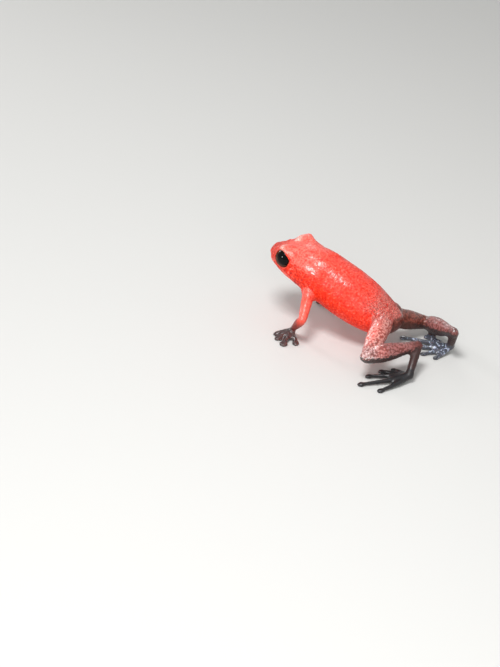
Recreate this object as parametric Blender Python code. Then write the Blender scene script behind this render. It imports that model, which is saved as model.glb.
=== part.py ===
"""A strawberry poison dart frog, life size, standing still on a flat floor.

The frog faces -Y, its left side is +X and +Z is up. All shapes are worked out in millimetres,
as one closed body of flesh that is then parted by thin cuts where its parts are named, and
everything is scaled to metres at the end.
"""

import math

import bmesh
import bpy
import numpy as np
from mathutils import Matrix, Vector

for thing in list(bpy.data.objects):
    bpy.data.objects.remove(thing, do_unlink=True)

# Driving dimensions, in millimetres. Snout to vent the frog measures 21.5 mm.
MM = 0.001
CUT_WIDTH = 0.3
GRAIN = 0.1
SMOOTHING_ROUNDS = 8
UP = Vector((0.0, 0.0, 1.0))

# Sections of head and trunk from the snout back to the rump: place along Y, half width, top,
# bottom, height of the widest point (0 at the bottom, 1 at the top) and squareness.
BODY_SECTIONS = [
    (-12.55, 0.30, 9.98, 9.55, 0.50, 2.0),
    (-12.43, 1.20, 10.30, 9.05, 0.50, 2.2),
    (-11.90, 1.85, 10.48, 8.55, 0.46, 2.3),
    (-11.00, 2.40, 10.80, 8.05, 0.42, 2.4),
    (-9.80, 2.88, 11.34, 7.60, 0.40, 2.4),
    (-8.40, 3.25, 11.78, 7.05, 0.40, 2.4),
    (-6.80, 3.42, 12.40, 6.30, 0.42, 2.3),
    (-5.00, 3.45, 12.36, 5.30, 0.45, 2.2),
    (-3.00, 3.65, 11.95, 4.35, 0.46, 2.15),
    (-0.50, 3.85, 11.05, 3.35, 0.46, 2.1),
    (2.00, 3.85, 10.02, 2.62, 0.46, 2.1),
    (4.50, 3.40, 8.75, 2.10, 0.48, 2.1),
    (6.50, 2.70, 7.45, 2.20, 0.50, 2.1),
    (7.90, 1.95, 6.45, 2.85, 0.50, 2.0),
    (8.70, 1.20, 5.75, 3.65, 0.50, 2.0),
    (8.95, 0.30, 5.05, 4.50, 0.50, 2.0),
]
BODY_STEPS = 4
BODY_SIDES = 48

# The eyes: centre of the left one, its radius, and the swelling of the head that carries it.
EYE_CENTRE = Vector((2.13, -8.88, 10.20))
EYE_RADIUS = 1.45
SOCKET_GAP = 0.22
SOCKET_RADIUS = EYE_RADIUS + SOCKET_GAP
EYE_SEGMENTS = 24
EYE_RINGS = 14
BROW_CENTRE = Vector((1.95, -8.26, 10.74))
BROW_RADII = (1.32, 1.98, 1.58)

# The head is turned a little to the frog's right about the neck, and leans to its left.
# The turn grows from nothing to all of it between two places along Y.
NECK = Vector((0.0, -5.0, 9.0))
HEAD_TURN = Matrix.Rotation(math.radians(-13.0), 3, "Z") @ Matrix.Rotation(math.radians(3.0), 3, "Y")
TURN_START = -4.4
TURN_END = -6.6

# Muscles that round out the roots of the limbs: middle of the left one and its radii.
SHOULDER_MUSCLE = (Vector((2.6, -4.3, 6.75)), (1.0, 1.55, 1.55))
HIP_MUSCLE = (Vector((2.05, 6.3, 4.75)), (1.45, 1.8, 1.5))

# Joints of each side. The left hind leg is drawn up, the right one trails behind.
LEFT = {
    "hip": Vector((2.0, 7.0, 5.2)),
    "knee": Vector((10.0, 8.0, 3.7)),
    "heel": Vector((3.2, 12.9, 3.8)),
    "ankle": Vector((7.0, 13.5, 0.95)),
    "foot tip": Vector((12.1, 7.6, 0.0)),
    "shoulder": Vector((2.5, -4.6, 6.9)),
    "elbow": Vector((6.7, -3.5, 4.2)),
    "wrist": Vector((4.7, -5.7, 0.95)),
    "hand tip": Vector((8.5, -6.0, 0.0)),
}
RIGHT = {
    "hip": Vector((-1.8, 6.8, 4.05)),
    "knee": Vector((-7.5, 10.3, 1.6)),
    "heel": Vector((-1.9, 16.3, 4.6)),
    "ankle": Vector((-4.1, 15.3, 0.95)),
    "foot tip": Vector((-3.3, 7.7, 0.0)),
    "shoulder": Vector((-2.5, -4.6, 6.9)),
    "elbow": Vector((-6.8, -2.7, 4.3)),
    "wrist": Vector((-5.7, -4.3, 0.95)),
    "hand tip": Vector((-9.2, -6.0, 0.0)),
}

# Outlines of the limb lengths: share of the length, half width and half thickness.
THIGH = [
    (-0.05, 1.42, 1.48),
    (0.20, 1.45, 1.52),
    (0.45, 1.38, 1.45),
    (0.75, 1.12, 1.15),
    (1.00, 0.88, 0.92),
]
SHANK = [
    (0.00, 0.92, 1.00),
    (0.22, 1.18, 1.28),
    (0.45, 1.16, 1.26),
    (0.75, 0.84, 0.90),
    (1.00, 0.68, 0.72),
]
TARSUS = [(0.0, 0.66, 0.68), (0.3, 0.62, 0.60), (0.7, 0.62, 0.55), (1.0, 0.70, 0.55)]
UPPER_ARM = [(-0.1, 1.02, 1.05), (0.2, 0.95, 0.98), (0.6, 0.76, 0.78), (1.0, 0.64, 0.66)]
FOREARM = [(0.0, 0.60, 0.62), (0.3, 0.66, 0.66), (0.7, 0.52, 0.52), (1.0, 0.46, 0.44)]

# Digits from the inner side out: turn from the line of the foot or hand in degrees, length
# from the ankle or wrist, half width of the disc, and sideways bow as a share of the length.
TOES = [
    (-66, 3.6, 0.44, -0.05),
    (-40, 4.6, 0.47, -0.04),
    (-17, 6.1, 0.52, -0.02),
    (2, 7.6, 0.56, 0.02),
    (24, 5.8, 0.51, 0.04),
]
FINGERS = [
    (-48, 2.7, 0.48, -0.05),
    (-20, 3.1, 0.56, -0.03),
    (8, 3.9, 0.68, 0.02),
    (40, 3.2, 0.58, 0.05),
]


def smooth_rows(rows, steps):
    """Rows of numbers read off a smooth curve through the given rows, steps to each span."""
    table = np.array(rows, float)
    slopes = np.gradient(table, axis=0)
    result = []
    for span in range(len(table) - 1):
        for step in range(steps):
            t = step / steps
            start = (1 + 2 * t) * (1 - t) ** 2 * table[span] + t * (1 - t) ** 2 * slopes[span]
            end = t * t * (3 - 2 * t) * table[span + 1] - t * t * (1 - t) * slopes[span + 1]
            result.append(start + end)
    result.append(table[-1])
    return np.array(result)


def mesh_object(name, points, faces):
    """A new object made of the given points and faces."""
    mesh = bpy.data.meshes.new(name)
    mesh.from_pydata([tuple(point) for point in points], [], faces)
    result = bpy.data.objects.new(name, mesh)
    bpy.context.scene.collection.objects.link(result)
    return result


def closed_tube(name, rings):
    """A skin over rings of equally many points, closed by a face at each end."""
    sides = len(rings[0])
    points = [point for ring in rings for point in ring]
    faces = [tuple(range(sides)), tuple(range(len(points) - sides, len(points)))]
    for ring in range(len(rings) - 1):
        for side in range(sides):
            here = ring * sides + side
            beside = ring * sides + (side + 1) % sides
            faces.append((here, beside, beside + sides, here + sides))
    tube = mesh_object(name, points, faces)
    shape = bmesh.new()
    shape.from_mesh(tube.data)
    bmesh.ops.recalc_face_normals(shape, faces=shape.faces)
    shape.to_mesh(tube.data)
    shape.free()
    return tube


def ball(name, centre, radii, segments=40, rings=24):
    """An ellipsoid."""
    shape = bmesh.new()
    bmesh.ops.create_uvsphere(shape, u_segments=segments, v_segments=rings, radius=1.0)
    bmesh.ops.transform(shape, matrix=Matrix.Diagonal((*radii, 1.0)), verts=shape.verts)
    bmesh.ops.transform(shape, matrix=Matrix.Translation(centre), verts=shape.verts)
    mesh = bpy.data.meshes.new(name)
    shape.to_mesh(mesh)
    shape.free()
    result = bpy.data.objects.new(name, mesh)
    bpy.context.scene.collection.objects.link(result)
    return result


def power(value, exponent):
    """The value's size to a power, with the value's own sign."""
    return math.copysign(abs(value) ** exponent, value)


def mirrored(place):
    return Vector((-place.x, place.y, place.z))


def turned(place):
    """Where a point of the straight body lies once the head is turned."""
    share = min(1.0, max(0.0, (TURN_START - place.y) / (TURN_START - TURN_END)))
    share = share * share * (3 - 2 * share)
    return place.lerp(NECK + HEAD_TURN @ (place - NECK), share)


def head_and_trunk():
    """The body from snout to rump, without its limbs."""
    rings = []
    for y, half_width, top, bottom, widest, squareness in smooth_rows(BODY_SECTIONS, BODY_STEPS):
        level = bottom + widest * (top - bottom)
        ring = []
        for side in range(BODY_SIDES):
            angle = 2 * math.pi * side / BODY_SIDES
            across = power(math.cos(angle), 2 / squareness)
            upward = power(math.sin(angle), 2 / squareness)
            reach = top - level if upward > 0 else level - bottom
            ring.append(turned(Vector((half_width * across, y, level + reach * upward))))
        rings.append(ring)
    return closed_tube("head_and_trunk", rings)


def limb(name, knots, sides=20, steps=5):
    """A round-ended limb through knots of x, y, z, half width and half thickness."""
    rows = smooth_rows(knots, steps)
    centres = [Vector(row[:3]) for row in rows]
    rings = []

    def add_ring(centre, along, half_width, half_thickness):
        across = UP.cross(along).normalized()
        upward = along.cross(across)
        ring = []
        for side in range(sides):
            angle = 2 * math.pi * side / sides
            sideways = across * half_width * math.cos(angle)
            ring.append(centre + sideways + upward * half_thickness * math.sin(angle))
        rings.append(ring)

    last = len(rows) - 1
    for index, centre in enumerate(centres):
        along = (centres[min(index + 1, last)] - centres[max(index - 1, 0)]).normalized()
        width, thickness = rows[index][3:]
        around = (-75, -50, -25, 0) if index == 0 else (0, 25, 50, 75) if index == last else (0,)
        for degrees in around:
            turn = math.radians(degrees)
            beyond = centre + along * thickness * math.sin(turn)
            add_ring(beyond, along, width * math.cos(turn), thickness * math.cos(turn))
    return closed_tube(name, rings)


def length_between(name, start, end, outline):
    """A limb length from joint to joint, swelling as its outline says."""
    knots = []
    for share, half_width, half_thickness in outline:
        centre = start.lerp(end, share)
        knots.append((*centre, half_width, half_thickness))
    return limb(name, knots)


# How a digit runs from its root to its disc: share of the length, height of its middle over
# the floor, half width and half thickness. The disc's own half width is given with each digit.
DIGIT_ROOT = (0.0, 0.80, 0.42, 0.42)
DIGIT_KNUCKLES = [(0.3, 0.62, 0.38, 0.38), (0.55, 0.46, 0.33, 0.34), (0.78, 0.34, 0.29, 0.29)]
NECK_OF_DISC = (0.28, 0.30, 0.27)
DISC_HEIGHT = 0.19
DISC_THICKNESS = 0.27


def digit(name, root, direction, length, disc, bow):
    """A finger or toe that lies on the floor and ends in a flattened disc."""
    sideways = Vector((-direction.y, direction.x, 0.0))
    floor_root = Vector((root.x, root.y, 0.0))

    def place(share, height):
        curve = 4 * share * (1 - share) * bow * length
        return floor_root + direction * (share * length) + sideways * curve + UP * height

    knots = [(*place(*DIGIT_ROOT[:2]), *DIGIT_ROOT[2:])]
    for share, height, half_width, half_thickness in DIGIT_KNUCKLES:
        knots.append((*place(share, height), half_width, half_thickness))
    centre = 1 - disc / length
    neck = centre - 0.9 * disc / length
    knots.append((*place(neck, NECK_OF_DISC[0]), *NECK_OF_DISC[1:]))
    knots.append((*place(centre, DISC_HEIGHT), disc, DISC_THICKNESS))
    knots.append((*place(1 - 0.35 * disc / length, DISC_HEIGHT), 0.72 * disc, 0.9 * DISC_THICKNESS))
    return limb(name, knots, sides=14, steps=4)


# The palm from wrist to knuckles: share of its length, height of its middle over the floor,
# share of its half width, and half thickness. Then length and half width of sole and palm.
PALM = [(0.0, 0.95, 0.62, 0.50), (0.45, 0.70, 0.85, 0.50), (1.0, 0.44, 1.0, 0.47)]
FOOT_PALM = (2.3, 0.95)
HAND_PALM = (1.2, 0.75)


def paw(name, wrist, tip, digits, palm, side_sign):
    """A hand or foot: its flat palm and its digits, spread like a fan."""
    palm_length, palm_width = palm
    line = Vector((tip.x - wrist.x, tip.y - wrist.y, 0.0)).normalized()
    floor_wrist = Vector((wrist.x, wrist.y, 0.0))
    knots = []
    for share, height, width, thickness in PALM:
        middle = floor_wrist + line * share * palm_length + UP * height
        knots.append((*middle, width * palm_width, thickness))
    pieces = [limb(name + "_palm", knots)]
    for number, (degrees, length, disc, bow) in enumerate(digits):
        turn = Matrix.Rotation(math.radians(degrees) * side_sign, 3, "Z")
        direction = turn @ line
        pieces.append(digit(f"{name}_{number}", wrist, direction, length, disc, bow * side_sign))
    return pieces


def limbs_of(side, joints, side_sign):
    """The pieces of one side's two limbs."""
    return [
        length_between("thigh_" + side, joints["hip"], joints["knee"], THIGH),
        length_between("shank_" + side, joints["knee"], joints["heel"], SHANK),
        length_between("tarsus_" + side, joints["heel"], joints["ankle"], TARSUS),
        length_between("upper_arm_" + side, joints["shoulder"], joints["elbow"], UPPER_ARM),
        length_between("forearm_" + side, joints["elbow"], joints["wrist"], FOREARM),
        *paw("foot_" + side, joints["ankle"], joints["foot tip"], TOES, FOOT_PALM, side_sign),
        *paw("hand_" + side, joints["wrist"], joints["hand tip"], FINGERS, HAND_PALM, side_sign),
    ]


def evaluated_mesh(thing):
    """The object's mesh with its modifiers worked in, which are then taken off."""
    graph = bpy.context.evaluated_depsgraph_get()
    mesh = bpy.data.meshes.new_from_object(thing.evaluated_get(graph))
    thing.modifiers.clear()
    thing.data = mesh
    return thing


def fused(name, pieces):
    """One smooth skin round all the pieces, which are then removed."""
    joined = bmesh.new()
    for piece in pieces:
        joined.from_mesh(piece.data)
        bpy.data.objects.remove(piece, do_unlink=True)
    mesh = bpy.data.meshes.new(name)
    joined.to_mesh(mesh)
    joined.free()
    result = bpy.data.objects.new(name, mesh)
    bpy.context.scene.collection.objects.link(result)
    remesh = result.modifiers.new("skin", "REMESH")
    remesh.mode = "VOXEL"
    remesh.voxel_size = GRAIN
    smooth = result.modifiers.new("smooth", "SMOOTH")
    smooth.factor = 0.5
    smooth.iterations = SMOOTHING_ROUNDS
    return evaluated_mesh(result)


# The line of the mouth, seen from the side: its height at places along Y, from the tip of the
# snout back to the corner of the jaw. The lips swell beside it.
MOUTH_LINE = [(-12.5, 9.32), (-11.3, 9.2), (-10.0, 8.95), (-8.8, 8.62), (-7.8, 8.28), (-6.9, 8.0)]
MOUTH_END = 0.5
FLOOR_TO_CHIN = 5.0
MOUTH_DEPTH = 0.17
MOUTH_WIDTH = 0.14
LIP_HEIGHT = 0.05
LIP_OFFSET = 0.34
LIP_WIDTH = 0.16
NOSTRIL = Vector((1.22, -11.95, 10.03))
NOSTRIL_RADIUS = 0.17
NOSTRIL_DEPTH = 0.22
NOSTRIL_RIM = (0.05, 1.6, 0.5)
EAR = Vector((3.25, -6.95, 9.2))
EAR_RADIUS = 0.52
EAR_DEPTH = 0.07
EAR_RIM = 0.3
LID_HEIGHT = 0.13
LID_WIDTH = 0.17


def carve_face(flesh):
    """Presses the mouth, nostrils and ears into the head, and raises the lips and eyelids."""
    count = len(flesh.data.vertices)
    points = np.empty(count * 3)
    flesh.data.vertices.foreach_get("co", points)
    points = points.reshape(-1, 3)
    normals = np.empty(count * 3)
    flesh.data.vertices.foreach_get("normal", normals)
    normals = normals.reshape(-1, 3)
    straight = (points - np.array(NECK)) @ np.array(HEAD_TURN) + np.array(NECK)
    on_head = np.clip((straight[:, 1] - TURN_START) / (TURN_END - TURN_START), 0.0, 1.0)
    on_head *= points[:, 2] > FLOOR_TO_CHIN
    line = smooth_rows(MOUTH_LINE, 6)
    from_line = straight[:, 2] - np.interp(straight[:, 1], line[:, 0], line[:, 1])
    fade = np.clip((MOUTH_LINE[-1][0] - straight[:, 1]) / MOUTH_END, 0.0, 1.0)
    move = -MOUTH_DEPTH * np.exp(-((from_line / MOUTH_WIDTH) ** 2))
    for side in (1, -1):
        move += LIP_HEIGHT * np.exp(-(((from_line - side * LIP_OFFSET) / LIP_WIDTH) ** 2))
    move *= fade
    for mirror in (1, -1):
        seen = straight * (mirror, 1, 1)
        nostril = np.linalg.norm(seen - np.array(NOSTRIL), axis=1) / NOSTRIL_RADIUS
        move -= NOSTRIL_DEPTH * np.exp(-(nostril**4))
        rim_height, rim_place, rim_width = NOSTRIL_RIM
        move += rim_height * np.exp(-(((nostril - rim_place) / rim_width) ** 2))
        ear = np.linalg.norm(seen - np.array(EAR), axis=1) / EAR_RADIUS
        move -= EAR_DEPTH * np.exp(-(((ear - 1.0) / EAR_RIM) ** 2))
        lid = np.linalg.norm(seen - np.array(EYE_CENTRE), axis=1) - SOCKET_RADIUS - LID_WIDTH
        outer = np.clip((seen[:, 0] - EYE_CENTRE.x) / EYE_RADIUS + 0.5, 0.0, 1.0)
        move += LID_HEIGHT * np.exp(-((lid / LID_WIDTH) ** 2)) * outer
    points = points + normals * (move * on_head)[:, None]
    flesh.data.vertices.foreach_set("co", points.ravel())
    flesh.data.update()


def thin_disc(name, centre, facing, radius):
    """A thin round cutter, square to the given direction."""
    shape = bmesh.new()
    bmesh.ops.create_cone(
        shape, cap_ends=True, segments=32, radius1=radius, radius2=radius, depth=CUT_WIDTH
    )
    turn = facing.to_track_quat("Z", "Y").to_matrix().to_4x4()
    bmesh.ops.transform(shape, matrix=Matrix.Translation(centre) @ turn, verts=shape.verts)
    mesh = bpy.data.meshes.new(name)
    shape.to_mesh(mesh)
    shape.free()
    result = bpy.data.objects.new(name, mesh)
    bpy.context.scene.collection.objects.link(result)
    return result


FLOOR_SIZE = 60.0
FLOOR_DEPTH = 4.0


def floor_block():
    """A cutter whose top is the floor, so that soles and discs lie flat on it."""
    shape = bmesh.new()
    bmesh.ops.create_cube(shape, size=1.0)
    size = Matrix.Diagonal((FLOOR_SIZE, FLOOR_SIZE, FLOOR_DEPTH, 1.0))
    bmesh.ops.transform(shape, matrix=size, verts=shape.verts)
    down = Matrix.Translation((0.0, 0.0, -FLOOR_DEPTH / 2))
    bmesh.ops.transform(shape, matrix=down, verts=shape.verts)
    mesh = bpy.data.meshes.new("floor")
    shape.to_mesh(mesh)
    shape.free()
    result = bpy.data.objects.new("floor", mesh)
    bpy.context.scene.collection.objects.link(result)
    return result


# Where the thin cuts go: a disc square to the limb, its distance from the joint and radius, and
# at a bend, the joints before and after, the disc's radius and how far it sits inside the bend.
NECK_CUT = (Vector((0.0, -5.75, 9.0)), Vector((0.0, -0.94, 0.34)), 5.5)
HIP_CUT = (2.3, 2.2)
SHOULDER_CUT = (1.7, 1.4)
ANKLE_CUT = (0.9, 1.05)
BEND_CUTS = {
    "knee": ("hip", "heel", 2.8, 1.2),
    "heel": ("knee", "ankle", 2.0, 0.8),
    "elbow": ("shoulder", "wrist", 1.5, 0.4),
    "wrist": ("elbow", "hand tip", 1.4, 0.4),
}


def bend_cut(name, before, joint, after, radius, inward):
    """A cutter across a bent joint, in the plane that halves its angle."""
    first = (before - joint).normalized()
    second = (after - joint).normalized()
    halfway = (first + second).normalized()
    return thin_disc(name, joint + halfway * inward, (first - second).normalized(), radius)


def cuts():
    """All cutters: the floor, neck, shoulders, elbows, wrists, hips, knees, heels and ankles."""
    result = [floor_block(), thin_disc("neck", *NECK_CUT)]
    for joints in (LEFT, RIGHT):
        for name, start, end, (distance, radius) in (
            ("hip", "hip", "knee", HIP_CUT),
            ("shoulder", "shoulder", "elbow", SHOULDER_CUT),
            ("ankle", "ankle", "heel", ANKLE_CUT),
        ):
            along = (joints[end] - joints[start]).normalized()
            result.append(thin_disc(name, joints[start] + along * distance, along, radius))
        for joint, (before, after, radius, inward) in BEND_CUTS.items():
            result.append(bend_cut(joint, joints[before], joints[joint], joints[after], radius, inward))
    return result


def carve(body, cutters):
    """Takes the cutters out of the body by one Boolean, and removes them."""
    for cutter in cutters:
        cutter.hide_render = True
        cutter.display_type = "WIRE"
    group = bpy.data.collections.new("cutters")
    for cutter in cutters:
        group.objects.link(cutter)
    boolean = body.modifiers.new("cuts", "BOOLEAN")
    boolean.operation = "DIFFERENCE"
    boolean.operand_type = "COLLECTION"
    boolean.collection = group
    boolean.solver = "MANIFOLD"
    evaluated_mesh(body)
    for cutter in cutters:
        bpy.data.objects.remove(cutter, do_unlink=True)
    bpy.data.collections.remove(group)
    return body


HEAD_MIDDLE = Vector((0.0, -9.0, 9.3))
TORSO_MIDDLE = Vector((0.0, 1.5, 6.2))


def middle_of_nodes():
    """Each node's name and a point near its middle."""
    result = {"head": HEAD_MIDDLE, "torso": TORSO_MIDDLE}
    for side, joints in (("left", LEFT), ("right", RIGHT)):
        for name, start, end, share in (
            ("upper_arm", "shoulder", "elbow", 0.65),
            ("forearm", "elbow", "wrist", 0.5),
            ("hand", "wrist", "hand tip", 0.5),
            ("thigh", "hip", "knee", 0.6),
            ("shank", "knee", "heel", 0.5),
            ("tarsus", "heel", "ankle", 0.5),
            ("foot", "ankle", "foot tip", 0.5),
        ):
            result[f"{name}_{side}"] = joints[start].lerp(joints[end], share)
    return result


def loose_parts(body):
    """The points and faces of each closed surface of the body."""
    shape = bmesh.new()
    shape.from_mesh(body.data)
    shape.verts.ensure_lookup_table()
    group = [-1] * len(shape.verts)
    groups = 0
    for seed in shape.verts:
        if group[seed.index] >= 0:
            continue
        group[seed.index] = groups
        waiting = [seed]
        while waiting:
            vertex = waiting.pop()
            for edge in vertex.link_edges:
                other = edge.other_vert(vertex)
                if group[other.index] < 0:
                    group[other.index] = groups
                    waiting.append(other)
        groups += 1
    shape.free()
    points = [[] for _ in range(groups)]
    faces = [[] for _ in range(groups)]
    place = []
    for vertex in body.data.vertices:
        own = points[group[vertex.index]]
        place.append(len(own))
        own.append(vertex.co.copy())
    for face in body.data.polygons:
        faces[group[face.vertices[0]]].append([place[index] for index in face.vertices])
    return list(zip(points, faces))


TRIANGLES = {
    "head": 4200,
    "torso": 2200,
    "thigh": 450,
    "shank": 420,
    "tarsus": 260,
    "foot": 1150,
    "upper_arm": 300,
    "forearm": 280,
    "hand": 950,
}


# Distances at which near points of a cut surface are joined, the widest first, and the height
# under which a point belongs to the sole.
WELDS = (0.01, 0.004, 0.002)
FLOOR_SLACK = 0.015


def welded(thing, distance):
    """Joins points closer than the distance, and says whether the surface is closed."""
    shape = bmesh.new()
    shape.from_mesh(thing.data)
    bmesh.ops.remove_doubles(shape, verts=shape.verts, dist=distance)
    bmesh.ops.dissolve_degenerate(shape, edges=shape.edges, dist=distance)
    bmesh.ops.triangulate(shape, faces=shape.faces)
    closed = all(len(edge.link_faces) == 2 for edge in shape.edges)
    shape.to_mesh(thing.data)
    shape.free()
    return closed


def flattened(thing):
    """Sets the points of the sole exactly on the floor."""
    for vertex in thing.data.vertices:
        if vertex.co.z < FLOOR_SLACK:
            vertex.co.z = 0.0


def thinned(thing, triangles):
    """The same shape with about the given number of triangles."""
    whole = thing.data
    for distance in WELDS:
        thing.data = whole.copy()
        if welded(thing, distance):
            break
    decimate = thing.modifiers.new("thin", "DECIMATE")
    decimate.ratio = min(1.0, triangles / len(thing.data.polygons))
    decimate.use_collapse_triangulate = True
    evaluated_mesh(thing)
    flattened(thing)
    welded(thing, WELDS[-1])
    return thing


# Colours as red, green, blue and roughness.
FINISHES = {
    "head": (0.80, 0.050, 0.025, 0.38),
    "torso": (0.78, 0.055, 0.025, 0.40),
    "upper_arm": (0.75, 0.12, 0.09, 0.38),
    "forearm": (0.55, 0.12, 0.10, 0.38),
    "hand": (0.07, 0.055, 0.06, 0.35),
    "thigh": (0.62, 0.12, 0.09, 0.38),
    "shank": (0.45, 0.11, 0.09, 0.38),
    "tarsus": (0.12, 0.09, 0.09, 0.35),
    "foot": (0.08, 0.08, 0.09, 0.32),
    "eye": (0.006, 0.005, 0.005, 0.08),
}


def kind_of(name):
    return name.replace("_left", "").replace("_right", "")


def finish(thing):
    """The node's own material, smooth shading, and its size in metres."""
    red, green, blue, roughness = FINISHES[kind_of(thing.name)]
    material = bpy.data.materials.new(thing.name)
    material.use_nodes = True
    shader = material.node_tree.nodes["Principled BSDF"]
    shader.inputs["Base Color"].default_value = (red, green, blue, 1.0)
    shader.inputs["Roughness"].default_value = roughness
    shader.inputs["Metallic"].default_value = 0.0
    thing.data.materials.clear()
    thing.data.materials.append(material)
    thing.data.transform(Matrix.Scale(MM, 4))
    thing.data.shade_smooth()
    return thing


pieces = [head_and_trunk()]
for place in (BROW_CENTRE, mirrored(BROW_CENTRE)):
    pieces.append(ball("brow", turned(place), BROW_RADII))
for name, (place, radii) in (("shoulder", SHOULDER_MUSCLE), ("hip", HIP_MUSCLE)):
    pieces.append(ball(name, place, radii))
    pieces.append(ball(name, mirrored(place), radii))
pieces += limbs_of("left", LEFT, 1)
pieces += limbs_of("right", RIGHT, -1)
flesh = fused("flesh", pieces)
carve_face(flesh)
eyes = {"left": turned(EYE_CENTRE), "right": turned(mirrored(EYE_CENTRE))}
sockets = [ball("socket", place, [SOCKET_RADIUS] * 3) for place in eyes.values()]
carve(flesh, cuts() + sockets)

middles = middle_of_nodes()
found = {}
for points, faces in loose_parts(flesh):
    middle = sum(points, Vector()) / len(points)
    name = min(middles, key=lambda node: (middles[node] - middle).length)
    if name not in found or len(found[name][0]) < len(points):
        found[name] = (points, faces)
bpy.data.objects.remove(flesh, do_unlink=True)
nodes = [thinned(mesh_object(name, *found[name]), TRIANGLES[kind_of(name)]) for name in sorted(found)]
for side, place in eyes.items():
    nodes.append(ball("eye_" + side, place, [EYE_RADIUS] * 3, EYE_SEGMENTS, EYE_RINGS))

# The origin is on the floor, under the middle of the whole frog.
corners = np.array([vertex.co for node in nodes for vertex in node.data.vertices])
low, high = corners.min(axis=0), corners.max(axis=0)
shift = Vector((-(low[0] + high[0]) / 2, -(low[1] + high[1]) / 2, -low[2]))
for node in nodes:
    node.data.transform(Matrix.Translation(shift))
    finish(node)
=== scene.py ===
"""A strawberry poison dart frog, life size, as a still model that stands on a plain pale floor."""

import math

import bpy
import numpy as np
from mathutils import Matrix, Vector, kdtree, noise


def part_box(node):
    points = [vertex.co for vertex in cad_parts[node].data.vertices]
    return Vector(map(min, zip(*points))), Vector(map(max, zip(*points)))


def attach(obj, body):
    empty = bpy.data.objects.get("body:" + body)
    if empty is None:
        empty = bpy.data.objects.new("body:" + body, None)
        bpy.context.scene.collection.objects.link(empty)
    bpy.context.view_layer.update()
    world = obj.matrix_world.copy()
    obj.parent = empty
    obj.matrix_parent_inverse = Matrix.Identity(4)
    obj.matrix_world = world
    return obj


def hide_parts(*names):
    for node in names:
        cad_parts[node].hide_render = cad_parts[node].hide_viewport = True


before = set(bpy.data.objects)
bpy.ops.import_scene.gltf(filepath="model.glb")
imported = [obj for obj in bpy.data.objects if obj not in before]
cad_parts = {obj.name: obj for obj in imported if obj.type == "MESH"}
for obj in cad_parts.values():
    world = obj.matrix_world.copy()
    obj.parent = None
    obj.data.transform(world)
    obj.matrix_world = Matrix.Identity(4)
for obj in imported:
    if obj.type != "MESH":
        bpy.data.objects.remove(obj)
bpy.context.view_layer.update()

# The camera looks down on the frog's left side from a little behind its shoulder, through a
# long lens from 30 centimetres away, and is held a few degrees off level.
MM = 0.001
CAMERA_PLACE = Vector((246.94, 90.86, 150.44)) * MM
CAMERA_AIM = Vector((6.334, -13.068, 0.0)) * MM
CAMERA_ROLL = math.radians(5.845)
LENS = 113.67
FILM = 36.0
NEAREST = 0.01

bpy.ops.object.camera_add(location=CAMERA_PLACE)
camera = bpy.context.object
camera.name = "camera"
facing = (CAMERA_AIM - CAMERA_PLACE).to_track_quat("-Z", "Y").to_matrix()
camera.rotation_euler = (facing @ Matrix.Rotation(CAMERA_ROLL, 3, "Z")).to_euler()
camera.data.lens = LENS
camera.data.sensor_width = FILM
camera.data.clip_start = NEAREST
bpy.context.scene.camera = camera

# Soft studio light in a pale grey room: a broad lamp high over the head and weaker ones in front
# and at the camera's side. The lamps of the wet shine and behind the frog light only its gloss,
# and the broad fill lights only its colours. Places and widths are in millimetres.
OVER, SHINE, FRONT, FILL, BACK = "lamp_over", "lamp_shine", "lamp_front", "lamp_fill", "lamp_back"
LAMPS = {
    OVER: {"place": (94.0, -12.0, 216.0), "width": 85.0, "watts": 0.42},
    SHINE: {"place": (196.0, -100.0, 84.0), "width": 40.0, "watts": 0.22},
    FRONT: {"place": (-37.0, -210.0, 99.0), "width": 50.0, "watts": 0.09},
    FILL: {"place": (190.0, 90.0, 90.0), "width": 160.0, "watts": 0.21},
    BACK: {"place": (-152.0, -99.0, 125.0), "width": 45.0, "watts": 0.10},
}
ROOM_LIGHT = 0.45
ROOM_COLOUR = (0.97, 0.98, 0.97, 1.0)

for name, facts in LAMPS.items():
    place = Vector(facts["place"]) * MM
    bpy.ops.object.light_add(type="AREA", location=place)
    lamp = bpy.context.object
    lamp.name = name
    lamp.rotation_euler = (-place).to_track_quat("-Z", "Y").to_euler()
    lamp.data.shape = "DISK"
    lamp.data.size = facts["width"] * MM
    lamp.data.energy = facts["watts"]
    lamp.visible_glossy = name != FILL
    lamp.visible_diffuse = name not in (SHINE, BACK)

room = bpy.data.worlds.new("room")
room.use_nodes = True
room_air = room.node_tree.nodes["Background"]
room_air.inputs["Color"].default_value = ROOM_COLOUR
room_air.inputs["Strength"].default_value = ROOM_LIGHT
bpy.context.scene.world = room
bpy.context.scene.view_settings.view_transform = "Standard"

# The floor is a sheet of matt off-white board, wide enough to fill the view, with the faint
# tooth of its fibres. The frog's palms, soles and toe discs lie flat on it.
FLOOR_WIDTH = 4.0
FLOOR_COLOUR = (0.63, 0.625, 0.61, 1.0)
FLOOR_ROUGHNESS = 0.75
FIBRES = 900.0
FIBRE_STRENGTH = 0.05
FIBRE_HEIGHT = 0.0001


class Wire:
    """The output of a shader node, which can be used in sums."""

    def __init__(self, socket):
        self.socket = socket

    def maths(self, operation, *values):
        node = self.socket.id_data.nodes.new("ShaderNodeMath")
        node.operation = operation
        connect(node, dict(enumerate(values)))
        return Wire(node.outputs[0])

    def __add__(self, other):
        return self.maths("ADD", self, other)

    def __sub__(self, other):
        return self.maths("SUBTRACT", self, other)

    def __rsub__(self, other):
        return self.maths("SUBTRACT", other, self)

    def __mul__(self, other):
        return self.maths("MULTIPLY", self, other)

    __radd__ = __add__
    __rmul__ = __mul__


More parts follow.
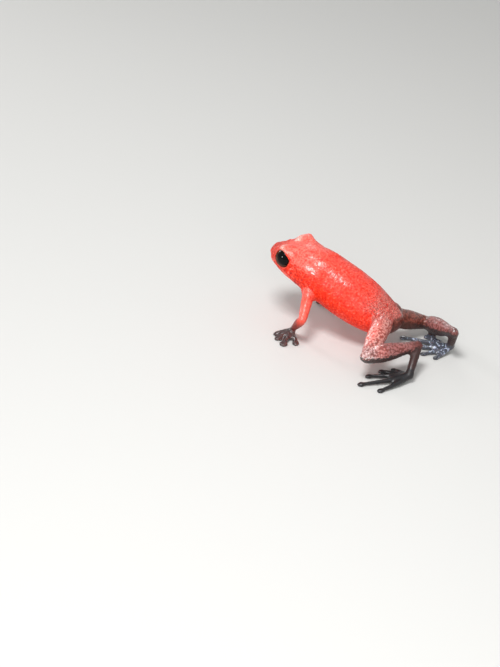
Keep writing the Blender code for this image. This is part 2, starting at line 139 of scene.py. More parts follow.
def connect(node, sockets):
    """Links each named or numbered socket of a node to its wire, or sets it to its value."""
    for socket, value in sockets.items():
        if isinstance(value, Wire):
            node.id_data.links.new(value.socket, node.inputs[socket])
        else:
            node.inputs[socket].default_value = value


class Finish:
    """A material made of nodes round one shader, with its patterns in the piece's own space."""

    def __init__(self, name):
        self.material = bpy.data.materials.new(name)
        self.material.use_nodes = True
        self.tree = self.material.node_tree
        self.shader = self.tree.nodes["Principled BSDF"]
        self.place = self.node("TexCoord", output=3)

    def node(self, kind, settings=None, sockets=None, output=0):
        """A new node with its settings, then its sockets: the wire from one of its outputs."""
        node = self.tree.nodes.new("ShaderNode" + kind)
        for name, value in (settings or {}).items():
            setattr(node, name, value)
        connect(node, sockets or {})
        return Wire(node.outputs[output])

    def clouds(self, scale, **sockets):
        """A soft random pattern from 0 to 1."""
        return self.node("TexNoise", sockets={"Vector": self.place, "Scale": scale, **sockets})

    def mask(self, name):
        """A number that the piece's mesh keeps for each of its points."""
        return self.node("Attribute", {"attribute_name": name}, output=2)

    def mix(self, share, first, second):
        """Two colours blended by a share of the second."""
        return self.node("Mix", {"data_type": "RGBA"}, {0: share, 6: first, 7: second}, output=2)

    def rise(self, value, low, high):
        """0 below the low value and 1 above the high one, or falling if the first is the higher."""
        sockets = {"Value": value, "From Min": low, "From Max": high}
        return self.node("MapRange", {"interpolation_type": "SMOOTHSTEP"}, sockets)

    def bumps(self, height, strength, distance):
        """The normals of a surface with this relief."""
        return self.node("Bump", sockets={"Height": height, "Strength": strength, "Distance": distance})

    def surface(self, **sockets):
        """Connects the shader, whose sockets are named with a low line for each space."""
        connect(self.shader, {name.replace("_", " "): value for name, value in sockets.items()})


board = Finish("board")
board.surface(
    Base_Color=FLOOR_COLOUR,
    Roughness=FLOOR_ROUGHNESS,
    Normal=board.bumps(board.clouds(FIBRES, Detail=4.0), FIBRE_STRENGTH, FIBRE_HEIGHT),
)
bpy.ops.object.select_all(action="DESELECT")
bpy.ops.mesh.primitive_plane_add(size=FLOOR_WIDTH)
floor = bpy.context.object
floor.name = "floor_board"
floor.data.materials.append(board.material)

# Each eye has a lid all round it: a thin cup of skin that lies close over the ball and is open
# to the side, with its rim drawn straight across under the brow. The cups grow together with the
# head's skin below. All sizes on the frog are in millimetres from the floor under its midline.
NECK = Vector((0.0, -5.0, 9.0))
HEAD_TURN = Matrix.Rotation(math.radians(-13.0), 3, "Z") @ Matrix.Rotation(math.radians(3.0), 3, "Y")
EYE = Vector((2.13, -8.88, 10.20))
LID_RADIUS = 1.72
LID_THICKNESS = 0.22
LID_AXIS = Vector((0.90, 0.24, 0.26)).normalized()
LID_OPENING = math.radians(54.5)
LID_BROW = Vector((-0.30, 0.14, 0.88)).normalized()
LID_BLIND = math.radians(46.0)
LEFT_SIDE, RIGHT_SIDE = 1, -1


def turned(direction, side):
    """A direction on one side of the straight head, as the head's turn leaves it."""
    return HEAD_TURN @ Vector((direction.x * side, direction.y, direction.z))


def on_head(place, side):
    """A place on one side of the straight head, as the head's turn leaves it."""
    return NECK + turned(place - NECK, side)


def work_in(piece, kind, **settings):
    """Adds a modifier with its settings and applies it at once."""
    modifier = piece.modifiers.new(kind.lower(), kind)
    for name, value in settings.items():
        setattr(modifier, name, value)
    bpy.context.view_layer.objects.active = piece
    bpy.ops.object.modifier_apply(modifier=modifier.name)


def lid_cup(side):
    """One eye's cup. Its own Z axis looks out of the opening until it is turned into place."""
    axis = turned(LID_AXIS, side).to_track_quat("Z", "Y")
    bpy.ops.object.select_all(action="DESELECT")
    bpy.ops.mesh.primitive_uv_sphere_add(
        segments=64, ring_count=45, radius=LID_RADIUS,
        location=on_head(EYE, side), rotation=axis.to_euler(),
    )
    lid = bpy.context.object
    bpy.ops.object.mode_set(mode="EDIT")
    bpy.ops.mesh.select_all(action="DESELECT")
    bpy.ops.object.mode_set(mode="OBJECT")
    for vertex in lid.data.vertices:
        vertex.select = vertex.co.z > LID_RADIUS * math.cos(LID_OPENING)
    bpy.ops.object.mode_set(mode="EDIT")
    bpy.ops.mesh.delete(type="VERT")
    bpy.ops.object.mode_set(mode="OBJECT")
    brow = axis.inverted() @ turned(LID_BROW, side)
    for vertex in lid.data.vertices:
        off_axis = vertex.co.angle(Vector((0.0, 0.0, 1.0)))
        off_brow = math.atan2(vertex.co.y, vertex.co.x) - math.atan2(brow.y, brow.x)
        blind = math.atan2(math.tan(LID_BLIND), max(math.cos(off_brow), 0.001))
        drawn = (math.pi - min(blind, LID_OPENING)) / (math.pi - LID_OPENING)
        off_axis = math.pi - (math.pi - off_axis) * drawn
        flat = Vector((vertex.co.x, vertex.co.y, 0.0)).normalized() * math.sin(off_axis)
        vertex.co = (flat + Vector((0.0, 0.0, math.cos(off_axis)))) * LID_RADIUS
    work_in(lid, "SOLIDIFY", thickness=LID_THICKNESS, offset=-1.0)
    bpy.ops.object.transform_apply(location=True, rotation=True, scale=True)
    return lid


lids = [lid_cup(LEFT_SIDE), lid_cup(RIGHT_SIDE)]

# The flesh is one body from snout to toe tips, under a thin moist skin with no seam. It is cast
# over the lids and the parted solids: they are swelled until they meet, made one close mesh,
# smoothed and drawn in again. Each point of it still finds which solid it was cast over.
MIDLINE = Vector((-1.44671, -2.20014, 0.0))
TO_FROG = Matrix.Translation(-MIDLINE) @ Matrix.Scale(1 / MM, 4)
SWELL = 0.2
MESH_SIZE = 0.1

bpy.ops.object.select_all(action="DESELECT")
for lid in lids:
    lid.select_set(True)
flesh = {name: node for name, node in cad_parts.items() if not name.startswith("eye")}
zones = list(flesh)
nearest = kdtree.KDTree(sum(len(node.data.vertices) for node in flesh.values()))
for name, node in flesh.items():
    copy = bpy.data.objects.new("skin", node.data.copy())
    bpy.context.scene.collection.objects.link(copy)
    copy.data.transform(TO_FROG)
    for vertex in copy.data.vertices:
        nearest.insert(vertex.co, zones.index(name))
    copy.select_set(True)
    bpy.context.view_layer.objects.active = copy
nearest.balance()
bpy.ops.object.join()
skin = bpy.context.object
skin.name = "skin"
skin.data.materials.clear()
bpy.ops.object.mode_set(mode="EDIT")
bpy.ops.mesh.select_all(action="SELECT")
bpy.ops.mesh.remove_doubles(threshold=0.001)
bpy.ops.object.mode_set(mode="OBJECT")

work_in(skin, "DISPLACE", direction="NORMAL", mid_level=0.0, strength=SWELL)
work_in(skin, "REMESH", mode="VOXEL", voxel_size=MESH_SIZE)
work_in(skin, "SMOOTH", factor=0.5, iterations=6)
work_in(skin, "DISPLACE", direction="NORMAL", mid_level=0.0, strength=-SWELL)
work_in(skin, "SMOOTH", factor=0.5, iterations=4)

# The face: a mouth that runs back under the eyes between soft lips, nostrils at the tip of the
# snout, a ridge from each nostril to the brow and eardrums behind the eyes. It is pressed into
# the skin of the head. Its places are those of the left side, before the head is turned.
HEAD_BACK = -4.4
HEAD_FRONT = -6.6
CHIN_LEVEL = 5.0
MOUTH = [(-12.5, 9.32), (-11.3, 9.20), (-10.0, 8.95), (-8.8, 8.62), (-7.8, 8.28), (-6.9, 8.00)]
MOUTH_CORNER = 0.6
MOUTH_DEPTH = 0.20
MOUTH_WIDTH = 0.11
UPPER_LIP = {"level": 0.33, "height": 0.05}
LOWER_LIP = {"level": -0.30, "height": 0.06}
LIP_WIDTH = 0.17
JAW_EDGE = 0.12
JAW_HEIGHT = 0.85
JAW_FADE = 0.2
LID_FURROW = {"radius": 2.0, "depth": 0.06, "width": 0.13, "inner_end": 1.2}
NOSTRIL = Vector((1.22, -11.95, 10.03))
# Each line has its two ends, and each mark its place and the radius of its ring, or 0 for a
# spot. Then come the height, which is below 0 where the skin is pressed in, and the width.
FACE_LINES = {
    "ridge": ((1.75, -10.60, 10.82), (1.10, -12.2, 10.12), 0.07, 0.28),
    "hollow": ((2.25, -10.8, 9.95), (1.55, -11.9, 9.72), -0.08, 0.40),
}
FACE_MARKS = {
    "nostril_rim": (NOSTRIL, 0.28, 0.06, 0.10),
    "nostril_pit": (NOSTRIL, 0.0, -0.34, 0.15),
    "eardrum": ((3.25, -6.95, 9.2), 0.52, -0.06, 0.13),
    "snout_top": ((1.25, -12.05, 10.37), 0.0, -0.16, 0.60),
    "brow_front": ((1.60, -10.90, 10.65), 0.0, 0.22, 0.65),
    "brow_peak": ((2.60, -8.45, 12.10), 0.0, 0.22, 0.50),
    "brow_back": ((2.85, -7.35, 11.80), 0.0, -0.28, 0.55),
}


def read(piece, kind):
    """The places or the normals of all the piece's points."""
    values = np.empty(len(piece.data.vertices) * 3)
    piece.data.vertices.foreach_get(kind, values)
    return values.reshape(-1, 3)


def keep(piece, name, values):
    """Keeps a number for each point of the piece, for its material to read."""
    piece.data.attributes.new(name, "FLOAT", "POINT").data.foreach_set("value", values)


def press(piece, height):
    """Moves every point of the piece along its normal by its own height."""
    moved = read(piece, "co") + read(piece, "normal") * height[:, None]
    piece.data.vertices.foreach_set("co", moved.ravel())
    piece.data.update()


def bell(distance, width):
    """1 in the middle, falling off to nothing over about the width."""
    return np.exp(-((distance / width) ** 2))


def step(value, low, high):
    """0 below the low value, 1 above the high one, and smooth between them."""
    share = np.clip((value - low) / (high - low), 0.0, 1.0)
    return share * share * (3 - 2 * share)


def fall(value, low, high):
    """1 below the low value, 0 above the high one, and smooth between them."""
    return step(-value, -high, -low)


def off_point(points, place):
    """How far each point is from a place."""
    return np.linalg.norm(points - np.array(place), axis=1)


def off_line(points, start, end):
    """How far each point is from a straight line, and how far along it is, as a share."""
    start, line = np.array(start), np.array(end) - np.array(start)
    share = np.clip((points - start) @ line / (line @ line), 0.0, 1.0)
    return np.linalg.norm(points - start - share[:, None] * line, axis=1), share


points = read(skin, "co")
straight = (points - np.array(NECK)) @ np.array(HEAD_TURN) + np.array(NECK)
head = np.clip((straight[:, 1] - HEAD_BACK) / (HEAD_FRONT - HEAD_BACK), 0.0, 1.0)
head *= points[:, 2] > CHIN_LEVEL

mouth = np.array(MOUTH)
off_mouth = straight[:, 2] - np.interp(straight[:, 1], mouth[:, 0], mouth[:, 1])
mouth_share = np.clip((mouth[-1, 0] - straight[:, 1]) / MOUTH_CORNER, 0.0, 1.0)
height = -MOUTH_DEPTH * bell(off_mouth, MOUTH_WIDTH)
for lip in (UPPER_LIP, LOWER_LIP):
    height += lip["height"] * bell(off_mouth - lip["level"], LIP_WIDTH)
height *= mouth_share
for side in (LEFT_SIDE, RIGHT_SIDE):
    seen = straight * (side, 1, 1)
    furrow = LID_FURROW["depth"] * bell(off_point(seen, EYE) - LID_FURROW["radius"], LID_FURROW["width"])
    height -= furrow * (seen[:, 0] > LID_FURROW["inner_end"])
    for start, end, rise, width in FACE_LINES.values():
        height += rise * bell(off_line(seen, start, end)[0], width)
    for place, ring, rise, width in FACE_MARKS.values():
        height += rise * bell(off_point(seen, place) - ring, width)
press(skin, height * head)
# A band along the edge of the lower jaw, which takes a painted highlight.
jaw = np.clip(-off_mouth / JAW_EDGE, 0.0, 1.0)
jaw *= np.clip((JAW_HEIGHT + off_mouth) / JAW_FADE, 0.0, 1.0) * mouth_share * head

# The limbs are counted from their roots, a whole number to each joint, so that grain and colour
# can change along them: an arm has its elbow at 1 and its wrist at 2, and a hind leg its knee at
# 1, its heel at 2 and its ankle at 3. Near its root the trunk takes a limb's count smoothly.
LEFT = {
    "shoulder": (2.5, -4.6, 6.9),
    "elbow": (6.7, -3.5, 4.2),
    "wrist": (4.7, -5.7, 0.95),
    "hand tip": (8.5, -6.0, 0.0),
    "hip": (2.0, 7.0, 5.2),
    "knee": (10.0, 8.0, 3.7),
    "heel": (3.2, 12.9, 3.8),
    "ankle": (7.0, 13.5, 0.95),
    "foot tip": (12.1, 7.6, 0.0),
}
RIGHT = {
    "shoulder": (-2.5, -4.6, 6.9),
    "elbow": (-6.8, -2.7, 4.3),
    "wrist": (-5.7, -4.3, 0.95),
    "hand tip": (-9.2, -6.0, 0.0),
    "hip": (-1.8, 6.8, 4.05),
    "knee": (-7.5, 10.3, 1.6),
    "heel": (-1.9, 16.3, 4.6),
    "ankle": (-4.1, 15.3, 0.95),
    "foot tip": (-3.3, 7.7, 0.0),
}
ARM_LENGTHS = [
    ("upper_arm", "shoulder", "elbow"),
    ("forearm", "elbow", "wrist"),
    ("hand", "wrist", "hand tip"),
]
LEG_LENGTHS = [
    ("thigh", "hip", "knee"),
    ("shank", "knee", "heel"),
    ("tarsus", "heel", "ankle"),
    ("foot", "ankle", "foot tip"),
]
ARM_GIRTH = 1.1
THIGH_GIRTH = 1.6
ROOT_BLEND = 1.35


def count_down(points, zone, lengths, girth):
    """How far down its limb each point is, a whole number to each joint, and 0 on the trunk."""
    count = np.zeros(len(points))
    trunk = zone == zones.index("torso")
    for side, joints in (("left", LEFT), ("right", RIGHT)):
        for number, (length, start, end) in enumerate(lengths):
            chosen = zone == zones.index(f"{length}_{side}")
            count[chosen] = number + off_line(points[chosen], joints[start], joints[end])[1]
        root, first_joint = lengths[0][1:]
        away, share = off_line(points[trunk], joints[root], joints[first_joint])
        share *= fall(away, girth, ROOT_BLEND * girth)
        count[trunk] = np.maximum(count[trunk], share)
    return count


def limb_counts(piece):
    """The counts of all the piece's points down the arms and down the hind legs."""
    points = read(piece, "co")
    zone = np.array([nearest.find(point)[1] for point in points])
    arm = count_down(points, zone, ARM_LENGTHS, ARM_GIRTH)
    leg = count_down(points, zone, LEG_LENGTHS, THIGH_GIRTH)
    return arm, leg


# The skin is finely granular on trunk and arms, with coarse rounded grains on thighs and shanks.
# Hands, feet, lips and the rims of the lids are nearly smooth. The grains are a close paving of
# pebbles that stand out from the mesh, and the finish below paints shade into the grooves between
# them.
FINE_GRAIN = 0.27
FINE_HEIGHT = 0.030
COARSE_GRAIN = 0.31
COARSE_HEIGHT = 0.050
GRAIN_SINK = 0.01
PEBBLE_ROUNDING = 1.9
COARSE_FROM = (0.2, 0.5)
COARSE_TO = (2.2, 2.8)
SMOOTH_ARM = (1.5, 1.9)
SMOOTH_LEG = (2.3, 2.8)
SMOOTH_SHARE = 0.9
SMOOTH_LIPS = 0.35
SMOOTH_LIDS = (1.75, 2.05)


def pebbles(points, size):
    """A close paving of rounded pebbles of about this size: 1 on their tops, 0 between them."""
    near = np.array([noise.voronoi(Vector(point / size))[0][0] for point in points])
    return np.clip(1.0 - PEBBLE_ROUNDING * near**2, 0.0, 1.0)


points = read(skin, "co")
arm, leg = limb_counts(skin)
coarse_share = step(leg, *COARSE_FROM) * (1 - step(leg, *COARSE_TO))
smooth = np.maximum(step(arm, *SMOOTH_ARM), step(leg, *SMOOTH_LEG))
fine = pebbles(points, FINE_GRAIN) * (1 - coarse_share)
coarse = pebbles(points, COARSE_GRAIN) * coarse_share
height = (FINE_HEIGHT * fine + COARSE_HEIGHT * coarse) * (1 - SMOOTH_SHARE * smooth) - GRAIN_SINK
smooth_face = bell(off_mouth, SMOOTH_LIPS) * mouth_share
for side in (LEFT_SIDE, RIGHT_SIDE):
    from_eye = off_point(straight * (side, 1, 1), EYE)
    smooth_face = np.maximum(smooth_face, 1 - step(from_eye, *SMOOTH_LIDS))
height *= 1 - smooth_face * head
keep(skin, "grain", fine + coarse)
keep(skin, "jaw", jaw)

# Four fingers and five toes, each with two low knuckles and a flat disc at its tip that has a
# pair of pads with a furrow between. Each digit is given by its angle from the middle line of
# hand or foot in degrees, its length, the width of its disc, and how far it bows to one side.
FINGERS = [
    (-48, 2.7, 0.48, -0.05),
    (-20, 3.1, 0.56, -0.03),
    (8, 3.9, 0.68, 0.02),
    (40, 3.2, 0.58, 0.05),
]
TOES = [
    (-66, 3.6, 0.44, -0.05),
    (-40, 4.6, 0.47, -0.04),
    (-17, 6.1, 0.52, -0.02),
    (2, 7.6, 0.56, 0.02),
    (24, 5.8, 0.51, 0.04),
]
KNUCKLES = (0.38, 0.62)
KNUCKLE_HEIGHT = 0.035
KNUCKLE_LENGTH = 0.22
DIGIT_WIDTH = 0.45
PADS = (-0.42, 0.42)
PAD_HEIGHT = 0.060
PAD_WIDTH = 0.36
PAD_STRETCH = 1.3
FURROW_DEPTH = 0.050
FURROW_WIDTH = 0.14
FURROW_STRETCH = 2.0
FOOT_FROM = 2.9
HAND_FROM = 1.9
FOOT_PAST_MIDDLE = 0.5
SOLE_TOP = 0.15


def digit_relief(points, joints, root, tip, digits, side):
    """The height of the knuckles, pads and furrows of one hand or foot at each point."""
    root = np.array(joints[root])[:2]
    line = np.array(joints[tip])[:2] - root
    height = np.zeros(len(points))
    for degrees, length, disc, bow in digits:
        turn = math.atan2(line[1], line[0]) + math.radians(degrees) * side
        along = (points[:, :2] - root) @ np.array((math.cos(turn), math.sin(turn)))
        aside = (points[:, :2] - root) @ np.array((-math.sin(turn), math.cos(turn)))
        share = np.clip(along / length, 0.0, 1.0)
        aside -= 4 * share * (1 - share) * bow * side * length
        before_disc = along - length + disc
        for knuckle in KNUCKLES:
            on_knuckle = bell(along - knuckle * length, KNUCKLE_LENGTH)
            height += KNUCKLE_HEIGHT * on_knuckle * bell(aside, DIGIT_WIDTH)
        for pad in PADS:
            off_pad = np.hypot(before_disc / PAD_STRETCH, aside - pad * disc)
            height += PAD_HEIGHT * bell(off_pad, PAD_WIDTH * disc)
        off_furrow = np.hypot(before_disc / FURROW_STRETCH, aside)
        height -= FURROW_DEPTH * bell(off_furrow, FURROW_WIDTH * disc)
    return height


for joints, side in ((LEFT, LEFT_SIDE), (RIGHT, RIGHT_SIDE)):
    toes = digit_relief(points, joints, "ankle", "foot tip", TOES, side)
    height += toes * (leg > FOOT_FROM) * (points[:, 0] * side > -FOOT_PAST_MIDDLE)
    fingers = digit_relief(points, joints, "wrist", "hand tip", FINGERS, side)
    height += fingers * (arm > HAND_FROM) * (points[:, 0] * side > 0)
height *= points[:, 2] > SOLE_TOP

# The vent is a small pit at the end of the trunk. It is pressed in together with the grain and
# the digits. Then the mesh is thinned, most where it is smooth, and the soles are laid flat.
VENT = (0.0, 8.9, 4.6)
VENT_DEPTH = 0.12
VENT_WIDTH = 0.18
THINNING = 0.61
FLAT_BELOW = 0.03

height -= VENT_DEPTH * bell(off_point(points, VENT), VENT_WIDTH)
press(skin, height)
work_in(skin, "DECIMATE", ratio=THINNING)
soles = read(skin, "co")
soles[:, 2] = np.where(soles[:, 2] < FLAT_BELOW, 0.0, soles[:, 2])
skin.data.vertices.foreach_set("co", soles.ravel())

# The masks of the markings and of the painted light and shade, kept on the mesh: the counts down
# the limbs, what faces down, the freckles that thicken towards the rump, the right side and the
# underside of the rump that painted shade darkens, the pale rear of the thighs and the painted
# highlight along their front, the rims of the lids and the pits of the nostrils.
DOWNWARD = (-0.6, 0.6)
FRECKLE_SLANT = 0.8
FRECKLE_LEVEL = 9.0
FRECKLE_REACH = (-1.0, 9.0)
FRECKLE_SLOPE = (-0.2, 0.6)
RIGHT_THIGH = (0.0, 0.3)
RIGHT_RUMP = (6.2, 8.0)
RIGHT_EDGE = (-1.8, -0.2)
UNDER_RUMP_REACH = (5.8, 7.2)
UNDER_RUMP_LEVEL = (5.2, 6.2)
UNDER_RUMP_THIGH = (0.0, 0.45)
UNDER_RUMP_EDGE = (1.4, 4.4)
TRAIL_SLOPE = (-0.1, 0.6)
TRAIL_FROM = (-0.05, 0.15)
TRAIL_TO = (0.9, 1.3)
GLEAM_FRONT = 0.62
GLEAM_WIDTH = 0.20
GLEAM_SLOPE = (0.0, 0.35)
GLEAM_FROM = (0.10, 0.25)
GLEAM_TO = (0.75, 0.95)
RIM_RADIUS = 1.82
RIM_WIDTH = 0.17
RIM_BROW = (0.45, 0.75)
PIT_WIDTH = 0.15

arm, leg = limb_counts(skin)
points = read(skin, "co")
across, back, up = points.T
faces_back, faces_up = read(skin, "normal")[:, 1:].T
lower = fall(faces_up, *DOWNWARD)
freckle = step(back - FRECKLE_SLANT * (up - FRECKLE_LEVEL), *FRECKLE_REACH)
freckle *= step(faces_up, *FRECKLE_SLOPE)
# The right leg and the right side of the rump, which painted shade darkens.
right = np.maximum(step(leg, *RIGHT_THIGH), step(back, *RIGHT_RUMP)) * fall(across, *RIGHT_EDGE)
# Below the rump, where painted shade darkens the skin.
under_rump_shade = step(back, *UNDER_RUMP_REACH) * fall(up, *UNDER_RUMP_LEVEL)
under_rump_shade *= fall(leg, *UNDER_RUMP_THIGH) * fall(across, *UNDER_RUMP_EDGE)
trail = step(faces_back, *TRAIL_SLOPE) * step(leg, *TRAIL_FROM) * fall(leg, *TRAIL_TO)
# Where a painted highlight runs along the front and top of the thighs.
gleam = bell(faces_back + GLEAM_FRONT, GLEAM_WIDTH) * step(faces_up, *GLEAM_SLOPE)
gleam *= step(leg, *GLEAM_FROM) * fall(leg, *GLEAM_TO)
rim = np.zeros(len(points))
pit = np.zeros(len(points))
for side in (LEFT_SIDE, RIGHT_SIDE):
    pit += bell(off_point(points, on_head(NOSTRIL, side)), PIT_WIDTH)
    out = points - np.array(on_head(EYE, side))
    far = np.linalg.norm(out, axis=1)
    under_brow = step(out @ np.array(turned(LID_BROW, side)) / far, *RIM_BROW)
    rim += bell(far - RIM_RADIUS, RIM_WIDTH) * under_brow
for name, values in (
    ("arm", arm), ("leg", leg), ("lower", lower), ("freckle", freckle), ("right", right),
    ("under_rump_shade", under_rump_shade), ("trail", trail), ("gleam", gleam), ("lid", rim), ("pit", pit),
):
    keep(skin, name, values)

# The colour of trunk and head: bright red, fiery on the flanks, duller and freckled with dark
# specks towards the rump, and paler on the upward-facing crown as a painted sheen and along the
# lower jaw as a painted highlight. Deep red marbles the cheeks, partly the skin's own and partly
# painted shade of its folds. Fine pale mottles are partly painted glints on the grains, and
# painted shade darkens the grooves between the grains and the nostril pits. The colour lies in
# the skin in many thin layers, each laid over the last where its share is above 0.
FRONT_REACH = (-0.0040, -0.0085)
SNOUT_REACH = (-0.0108, -0.0138)
BLOTCHES = 1400.0
CLOUDS = 500.0
MOTTLES = 3200.0
SPECKS = 6000.0
WANDER = 0.45
TOP_RED = (0.92, 0.045, 0.018, 1.0)
FLANK_RED = (0.95, 0.042, 0.008, 1.0)
RUMP_RED = (0.66, 0.180, 0.145, 1.0)
SNOUT_RED = (0.50, 0.045, 0.030, 1.0)
PALE_RED = (0.95, 0.20, 0.155, 1.0)
DEEP_RED = (0.66, 0.003, 0.000, 1.0)
LID_HIGHLIGHT = (1.0, 0.70, 0.60, 1.0)
FRECKLE_AND_PIT_SHADE = (0.13, 0.012, 0.008, 1.0)

hide = Finish("frog_hide")
arm, leg, lower, freckle, grain, jaw, right, lid, pit, under_rump_shade, trail, gleam = (
    hide.mask(name) for name in (
        "arm", "leg", "lower", "freckle", "grain", "jaw", "right", "lid", "pit", "under_rump_shade", "trail", "gleam",
    )
)
along = hide.node("SeparateXYZ", sockets={"Vector": hide.place}, output=1)
front = hide.rise(along, *FRONT_REACH)
snout = hide.rise(along, *SNOUT_REACH)
blotch = hide.clouds(BLOTCHES, Distortion=1.5)
cloud = hide.clouds(CLOUDS, Detail=4.0)
mottle = hide.clouds(MOTTLES, Detail=3.0)
speck = hide.clouds(SPECKS, Detail=1.0)
wander = (mottle - 0.5) * WANDER


def layers(colour, *coats):
    """A colour with coats laid over it in turn, each given by its share and its own colour."""
    for share, coat in coats:
        colour = hide.mix(share, colour, coat)
    return colour


# Painted sheen: the crown and shoulders are paler where they face up.
crown_sheen = (front * 0.7 - snout * 0.4) * hide.rise(lower, 0.35, 0.05)
# Deep red marbling where cheeks and flanks face down, partly the skin's own and partly painted shade of
# its folds.
marbling_and_fold_shade = hide.rise(blotch, 0.50, 0.58) * hide.rise(lower, 0.05, 0.35) * (front * 0.5 + 0.4)
freckled = freckle + front * hide.rise(blotch, 0.50, 0.62) * 0.35 + snout * 0.5
colour = layers(
    TOP_RED,
    (hide.rise(freckle + wander, 0.58, 1.05), RUMP_RED),
    (hide.rise(lower + wander, 0.05, 0.45), FLANK_RED),
    (crown_sheen, PALE_RED),
    (snout * 0.5, SNOUT_RED),
    # Fine pale mottles, partly the skin's own tone and partly painted glints on its grains.
    (hide.rise(mottle, 0.52, 0.74) * 0.6, PALE_RED),
    (hide.rise(mottle, 0.50, 0.30) * 0.7, DEEP_RED),
    (marbling_and_fold_shade, DEEP_RED),
    (hide.rise(blotch, 0.42, 0.35) * front * 0.25, PALE_RED),
    # Painted shade in the grooves between the grains.
    (hide.rise(grain, 0.5, 0.0) * 0.5, DEEP_RED),
    (front * hide.rise(blotch, 0.54, 0.64) * 0.35, SNOUT_RED),
    # Painted highlight along the edge of the lower jaw.
    (jaw * 0.6, PALE_RED),
    # Painted highlight on the rims of the lids under the brow.
    (lid * hide.rise(speck, 0.3, 0.6) * 0.8, LID_HIGHLIGHT),
    (hide.rise(speck + freckled * 0.18, 0.60, 0.70) * freckled * 0.65, FRECKLE_AND_PIT_SHADE),
    # Painted shade in the nostril pits.
    (pit, FRECKLE_AND_PIT_SHADE),
)

# The arms are the trunk's red down to the elbow and turn dusky, then almost black on the hands.
# The edges of all these colours wander a little, as the skin's own do.
UPPER_ARM = (0.88, 0.12, 0.08, 1.0)
FOREARM = (0.29, 0.055, 0.045, 1.0)
HAND = (0.050, 0.026, 0.026, 1.0)

down_arm = arm + wander
colour = layers(
    colour,
    (hide.rise(down_arm, 0.2, 0.7) * 0.7, UPPER_ARM),
    (hide.rise(down_arm, 0.95, 1.35), FOREARM),
    (hide.rise(down_arm, 1.5, 2.0), HAND),
)

# The hind legs have pale pink grains with painted shade in the grooves between them, and painted
# shade on their undersides and on the left shank towards its heel. The knees are paler, partly as
# painted sheen, the near knee is flecked with painted white glints, and a painted highlight runs
# along the front of the thighs. The trailing right thigh and the rump are brown with painted shade,
# and both feet nearly black, the left one darker as painted shade and the right one with painted
# blue-grey glints of wet skin.
THIGH = (0.90, 0.24, 0.20, 1.0)
THIGH_GROOVE_SHADE = (0.58, 0.085, 0.062, 1.0)
THIGH_REAR = (0.62, 0.31, 0.275, 1.0)
THIGH_REAR_GROOVE_SHADE = (0.26, 0.065, 0.052, 1.0)
KNEE = (0.50, 0.31, 0.30, 1.0)
KNEE_GROOVE_SHADE = (0.16, 0.058, 0.052, 1.0)
PAINTED_GLINT = (0.98, 0.88, 0.86, 1.0)
FAR_THIGH_SHADED = (0.21, 0.050, 0.032, 1.0)
FAR_THIGH_SHADED_GROOVE = (0.085, 0.022, 0.014, 1.0)
REAR_SHADE = (0.070, 0.030, 0.022, 1.0)
SHANK = (0.34, 0.125, 0.118, 1.0)
SHANK_GROOVE_SHADE = (0.17, 0.048, 0.042, 1.0)
UNDERSIDE_SHADE = (0.050, 0.028, 0.026, 1.0)
TARSUS = (0.050, 0.026, 0.024, 1.0)
NEAR_FOOT_SHADED = (0.020, 0.019, 0.021, 1.0)
FAR_FOOT_LIT = (0.066, 0.070, 0.092, 1.0)
FOOT_SHINE = (0.40, 0.45, 0.58, 1.0)

down_leg = leg + wander
# The grooves between the grains get painted shade.
groove_shade = hide.rise(grain + wander, 0.75, 0.15)
knee = hide.rise(down_leg, 0.60, 1.0) * hide.rise(down_leg, 1.4, 1.0) * hide.rise(lower, 0.75, 0.55)
# Painted white glints of wet skin on the knees.
painted_knee_glints = knee * hide.rise(mottle, 0.52, 0.58) * hide.rise(lower, 0.18, 0.34)
# Painted shade: the right thigh, right rump and underside of the rump turn dark brown, darkest where they
# face down.
shade_behind = hide.mix(groove_shade, FAR_THIGH_SHADED, FAR_THIGH_SHADED_GROOVE)
shade_behind = hide.mix(hide.rise(lower + wander, 0.20, 0.55), shade_behind, REAR_SHADE)
# Painted glints on the upward-facing right foot; the left foot is a darker copy as painted shade.
foot_glints = hide.rise(mottle, 0.56, 0.61) * hide.rise(lower, 0.7, 0.4)
feet = hide.mix(right, NEAR_FOOT_SHADED, hide.mix(foot_glints, FAR_FOOT_LIT, FOOT_SHINE))
colour = layers(
    colour,
    (hide.rise(down_leg, 0.04, 0.50), hide.mix(groove_shade, THIGH, THIGH_GROOVE_SHADE)),
    (trail * 0.7, hide.mix(groove_shade, THIGH_REAR, THIGH_REAR_GROOVE_SHADE)),
    (knee * 0.9, hide.mix(groove_shade, KNEE, KNEE_GROOVE_SHADE)),
    (painted_knee_glints, PAINTED_GLINT),
    # Painted highlight streaked along the front of the thighs.
    (gleam * hide.rise(mottle, 0.42, 0.54) * 0.8, PAINTED_GLINT),
    (hide.rise(right + under_rump_shade + wander * 0.6, 0.25, 0.75) * 0.93, shade_behind),
    (hide.rise(down_leg, 1.05, 1.4), hide.mix(groove_shade, SHANK, SHANK_GROOVE_SHADE)),
    # Painted shade on the left shank towards its heel.
    (hide.rise(down_leg, 1.65, 2.0) * (1.0 - right) * 0.8, SHANK_GROOVE_SHADE),
    # Painted shade on the down-facing undersides of the legs.
    (hide.rise(lower + wander, 0.33, 0.58) * hide.rise(leg, 0.35, 0.9), UNDERSIDE_SHADE),
    (hide.rise(down_leg, 1.85, 2.15), TARSUS),
    (hide.rise(down_leg, 2.6, 3.1), feet),
)

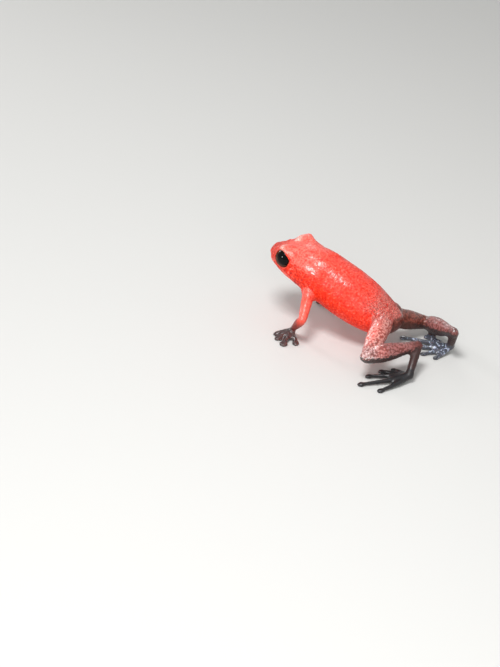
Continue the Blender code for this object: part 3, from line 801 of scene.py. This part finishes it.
# The skin is moist all over and wet in places: on the knees, the right heel, hands, feet and
# lids, and in clouds along the back behind the head. Under the film of water it is satin, with a
# fine bump of its own, and a little light goes through it.
BACK_REACH = (-0.0086, -0.0066)
DAMP = 0.03
WET = 0.8
FILM_ROUGHNESS = 0.24
SKIN_ROUGHNESS = 0.52
SATIN = 0.15
SKIN_GLOSS = 0.22
PORES = 7000.0
PORE_STRENGTH = 0.6
PORE_HEIGHT = 0.00004
LIGHT_THROUGH = 0.10
LIGHT_DEPTH = 0.0006
FROM_FROG = Matrix.Scale(MM, 4) @ Matrix.Translation(MIDLINE)

wet_knees = hide.rise(leg, 0.75, 0.95) * hide.rise(leg, 1.45, 1.15)
wet_heel = hide.rise(leg, 1.6, 1.8) * hide.rise(leg, 2.1, 1.95) * right
wet_feet = hide.rise(leg, 2.5, 2.9) * (right * 0.5 + 0.5)
wet_hands = hide.rise(arm, 1.5, 1.9) * 0.7
wet_back = hide.rise(lower, 0.4, 0.1) * hide.rise(leg, 2.2, 1.9) * hide.rise(along, *BACK_REACH)
wet_back = wet_back * hide.rise(cloud, 0.38, 0.56)
pores = hide.node("TexVoronoi", {"feature": "SMOOTH_F1"}, {"Vector": hide.place, "Scale": PORES})
hide.surface(
    Base_Color=colour,
    Roughness=SKIN_ROUGHNESS - hide.rise(cloud, 0.35, 0.65) * SATIN,
    Normal=hide.bumps(mottle * 0.4 - pores, PORE_STRENGTH, PORE_HEIGHT),
    Specular_IOR_Level=SKIN_GLOSS,
    Coat_Weight=(wet_knees + wet_heel + wet_feet + wet_hands + lid) * WET + wet_back + DAMP,
    Coat_Roughness=FILM_ROUGHNESS,
    Subsurface_Weight=LIGHT_THROUGH,
    Subsurface_Scale=LIGHT_DEPTH,
)
skin.data.transform(FROM_FROG)
skin.data.materials.append(hide.material)
skin.data.shade_smooth()
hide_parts(*zones)
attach(skin, "root")

# Each eye is a wet, nearly black ball that sits in its socket. Its cornea bulges a little over
# the pupil, and round the pupil a rim of very dark brown iris shows at the front of the opening.
EYE_RADIUS = 1.58
PUPIL_AXIS = Vector((0.80, 0.42, 0.42)).normalized()
PUPIL_EDGE = (0.66, 0.74)
IRIS_EDGE = (0.0, 0.35)
IRIS_STREAKS = 2600.0
CORNEA_EDGE = 0.70
CORNEA_RISE = 0.08
EYE_ROUGHNESS = 0.05
EYE_GLOSS = 0.14
PUPIL = (0.004, 0.003, 0.003, 1.0)
IRIS_DARK = (0.035, 0.011, 0.005, 1.0)
IRIS_LIGHT = (0.105, 0.032, 0.013, 1.0)

jet = Finish("eye_jet")
iris_brown = jet.mix(jet.rise(jet.clouds(IRIS_STREAKS), 0.35, 0.65), IRIS_DARK, IRIS_LIGHT)
jet.surface(
    Base_Color=jet.mix(jet.mask("iris"), PUPIL, iris_brown),
    Roughness=EYE_ROUGHNESS,
    Specular_IOR_Level=EYE_GLOSS,
)
for name, side in (("left", LEFT_SIDE), ("right", RIGHT_SIDE)):
    low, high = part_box("eye_" + name)
    centre = (Vector(low) + Vector(high)) / 2
    bpy.ops.object.select_all(action="DESELECT")
    bpy.ops.mesh.primitive_uv_sphere_add(
        segments=64, ring_count=32, radius=EYE_RADIUS * MM, location=centre
    )
    eye = bpy.context.object
    eye.name = "eyeball_" + name
    bpy.ops.object.transform_apply(location=True, rotation=True, scale=True)
    outward = (read(eye, "co") - np.array(centre)) / (EYE_RADIUS * MM)
    facing = outward @ np.array(turned(PUPIL_AXIS, side))
    bulge = CORNEA_RISE * MM * step(facing, CORNEA_EDGE, 1.0)
    eye.data.vertices.foreach_set("co", (read(eye, "co") + outward * bulge[:, None]).ravel())
    eye.data.update()
    keep(eye, "iris", fall(facing, *PUPIL_EDGE) * step(facing, *IRIS_EDGE))
    eye.data.shade_smooth()
    eye.data.materials.append(jet.material)
    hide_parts("eye_" + name)
    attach(eye, "root")
